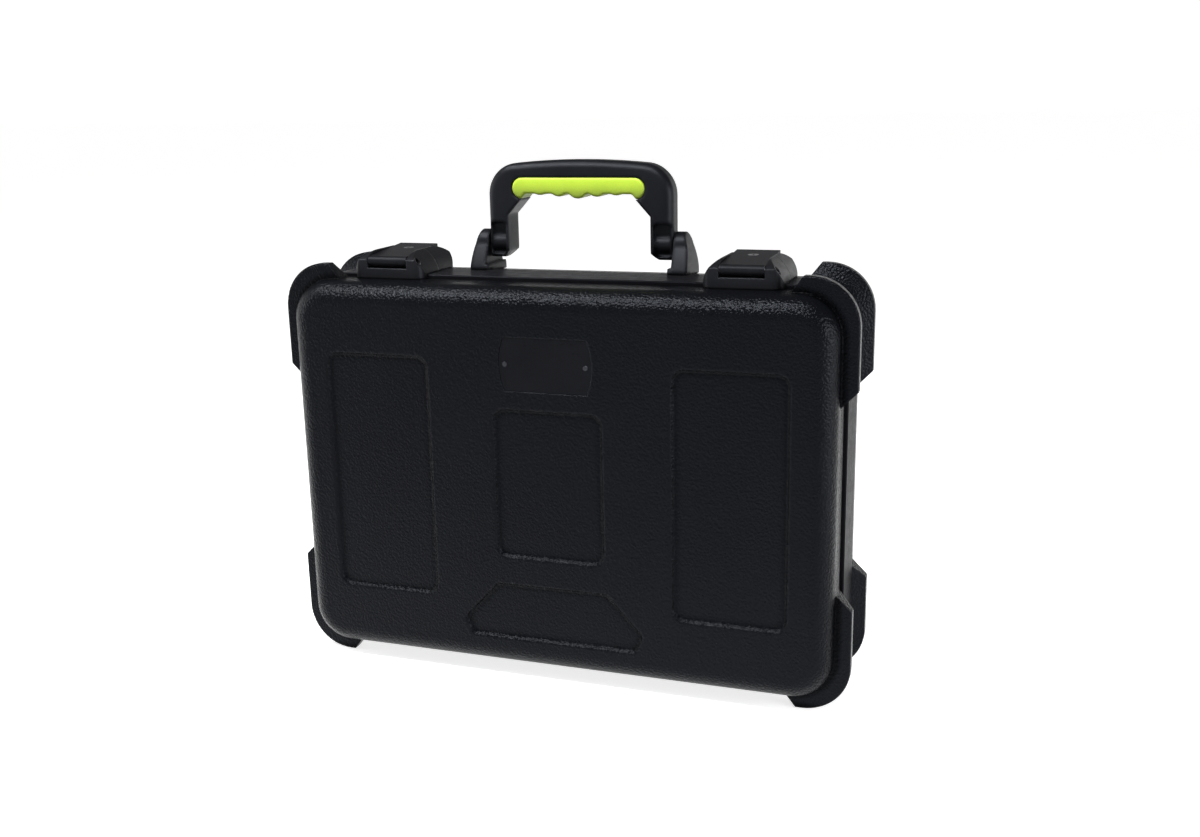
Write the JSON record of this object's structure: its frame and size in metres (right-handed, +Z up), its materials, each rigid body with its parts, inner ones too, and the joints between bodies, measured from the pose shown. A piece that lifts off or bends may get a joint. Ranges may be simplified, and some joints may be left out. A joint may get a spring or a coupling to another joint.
{
  "type": "microphone case",
  "caption": "Upright moulded carrying case for microphones, with a hinged lid, lever latches, a folding handle and slotted foam.",
  "frame": {"origin": "on the parting plane, midway along the case, level with the bottom of the bumpers it stands on", "axes": "+X along the case, +Y from the lid face towards the base face, +Z up through the handle"},
  "size_m": [0.495, 0.131, 0.4378],
  "materials": {
    "shell_plastic": "pebbled, near black",
    "band_plastic": "satin, ridged",
    "latch_plastic": "satin",
    "lever_metal": "satin black",
    "lock_metal": "brushed",
    "steel": "brushed",
    "handle_plastic": "satin",
    "grip_rubber": "soft, lime green",
    "hinge_metal": "satin black",
    "rivet_metal": "blackened",
    "plate_plastic": "semi-gloss",
    "foam": "fine open cells"
  },
  "bodies": {
    "base": {"base_shell": "shell_plastic", "base_valance": "band_plastic", "latch_left_catch": "latch_plastic", "latch_right_catch": "latch_plastic", "latch_left_keeper": "steel", "latch_right_keeper": "steel", "handle_pin_left": "steel", "handle_pin_right": "steel", "handle_bracket_left": "handle_plastic", "handle_bracket_right": "handle_plastic", "hinge_left_base_leaf": "hinge_metal", "hinge_right_base_leaf": "hinge_metal", "hinge_pins": "steel", "base_latch_rivets": "rivet_metal", "handle_bracket_rivets": "rivet_metal", "base_hinge_rivets": "rivet_metal", "base_foam_floor": "foam", "base_foam_insert": "foam"},
    "lid": {"lid_shell": "shell_plastic", "lid_valance": "band_plastic", "name_plate": "plate_plastic", "name_plate_rivets": "rivet_metal", "latch_left_housing": "latch_plastic", "latch_right_housing": "latch_plastic", "latch_left_pin": "steel", "latch_right_pin": "steel", "hinge_left_lid_leaf": "hinge_metal", "hinge_right_lid_leaf": "hinge_metal", "lid_latch_rivets": "rivet_metal", "lid_hinge_rivets": "rivet_metal", "lid_foam": "foam"},
    "handle": {"handle_bail": "handle_plastic", "handle_grip": "grip_rubber"},
    "left_lever": {"latch_left_lever": "lever_metal"},
    "right_lever": {"latch_right_lever": "lever_metal"},
    "left_key_plug": {"latch_left_key_plug": "lock_metal"},
    "right_key_plug": {"latch_right_key_plug": "lock_metal"}
  },
  "joints": [
    {"name": "lid_hinge", "type": "hinge", "parent": "base", "child": "lid", "pos_m": [0, 0, 0.0062], "axis": [1, 0, 0], "range_deg": [0, 105]},
    {"name": "handle_pivot", "type": "hinge", "parent": "base", "child": "handle", "pos_m": [0, 0.0325, 0.3675], "axis": [1, 0, 0], "range_deg": [-90, 90]},
    {"name": "left_lever_pivot", "type": "hinge", "parent": "lid", "child": "left_lever", "pos_m": [-0.1537, -0.0295, 0.356], "axis": [1, 0, 0], "range_deg": [-3, 90]},
    {"name": "right_lever_pivot", "type": "hinge", "parent": "lid", "child": "right_lever", "pos_m": [0.1537, -0.0295, 0.356], "axis": [1, 0, 0], "range_deg": [-3, 90]},
    {"name": "left_key_turn", "type": "hinge", "parent": "left_lever", "child": "left_key_plug", "pos_m": [-0.1537, 0.00815, 0.36365], "axis": [0, -0.0523, 0.9986], "range_deg": [0, 90]},
    {"name": "right_key_turn", "type": "hinge", "parent": "right_lever", "child": "right_key_plug", "pos_m": [0.1537, 0.00815, 0.36365], "axis": [0, -0.0523, 0.9986], "range_deg": [0, 90]}
  ]
}
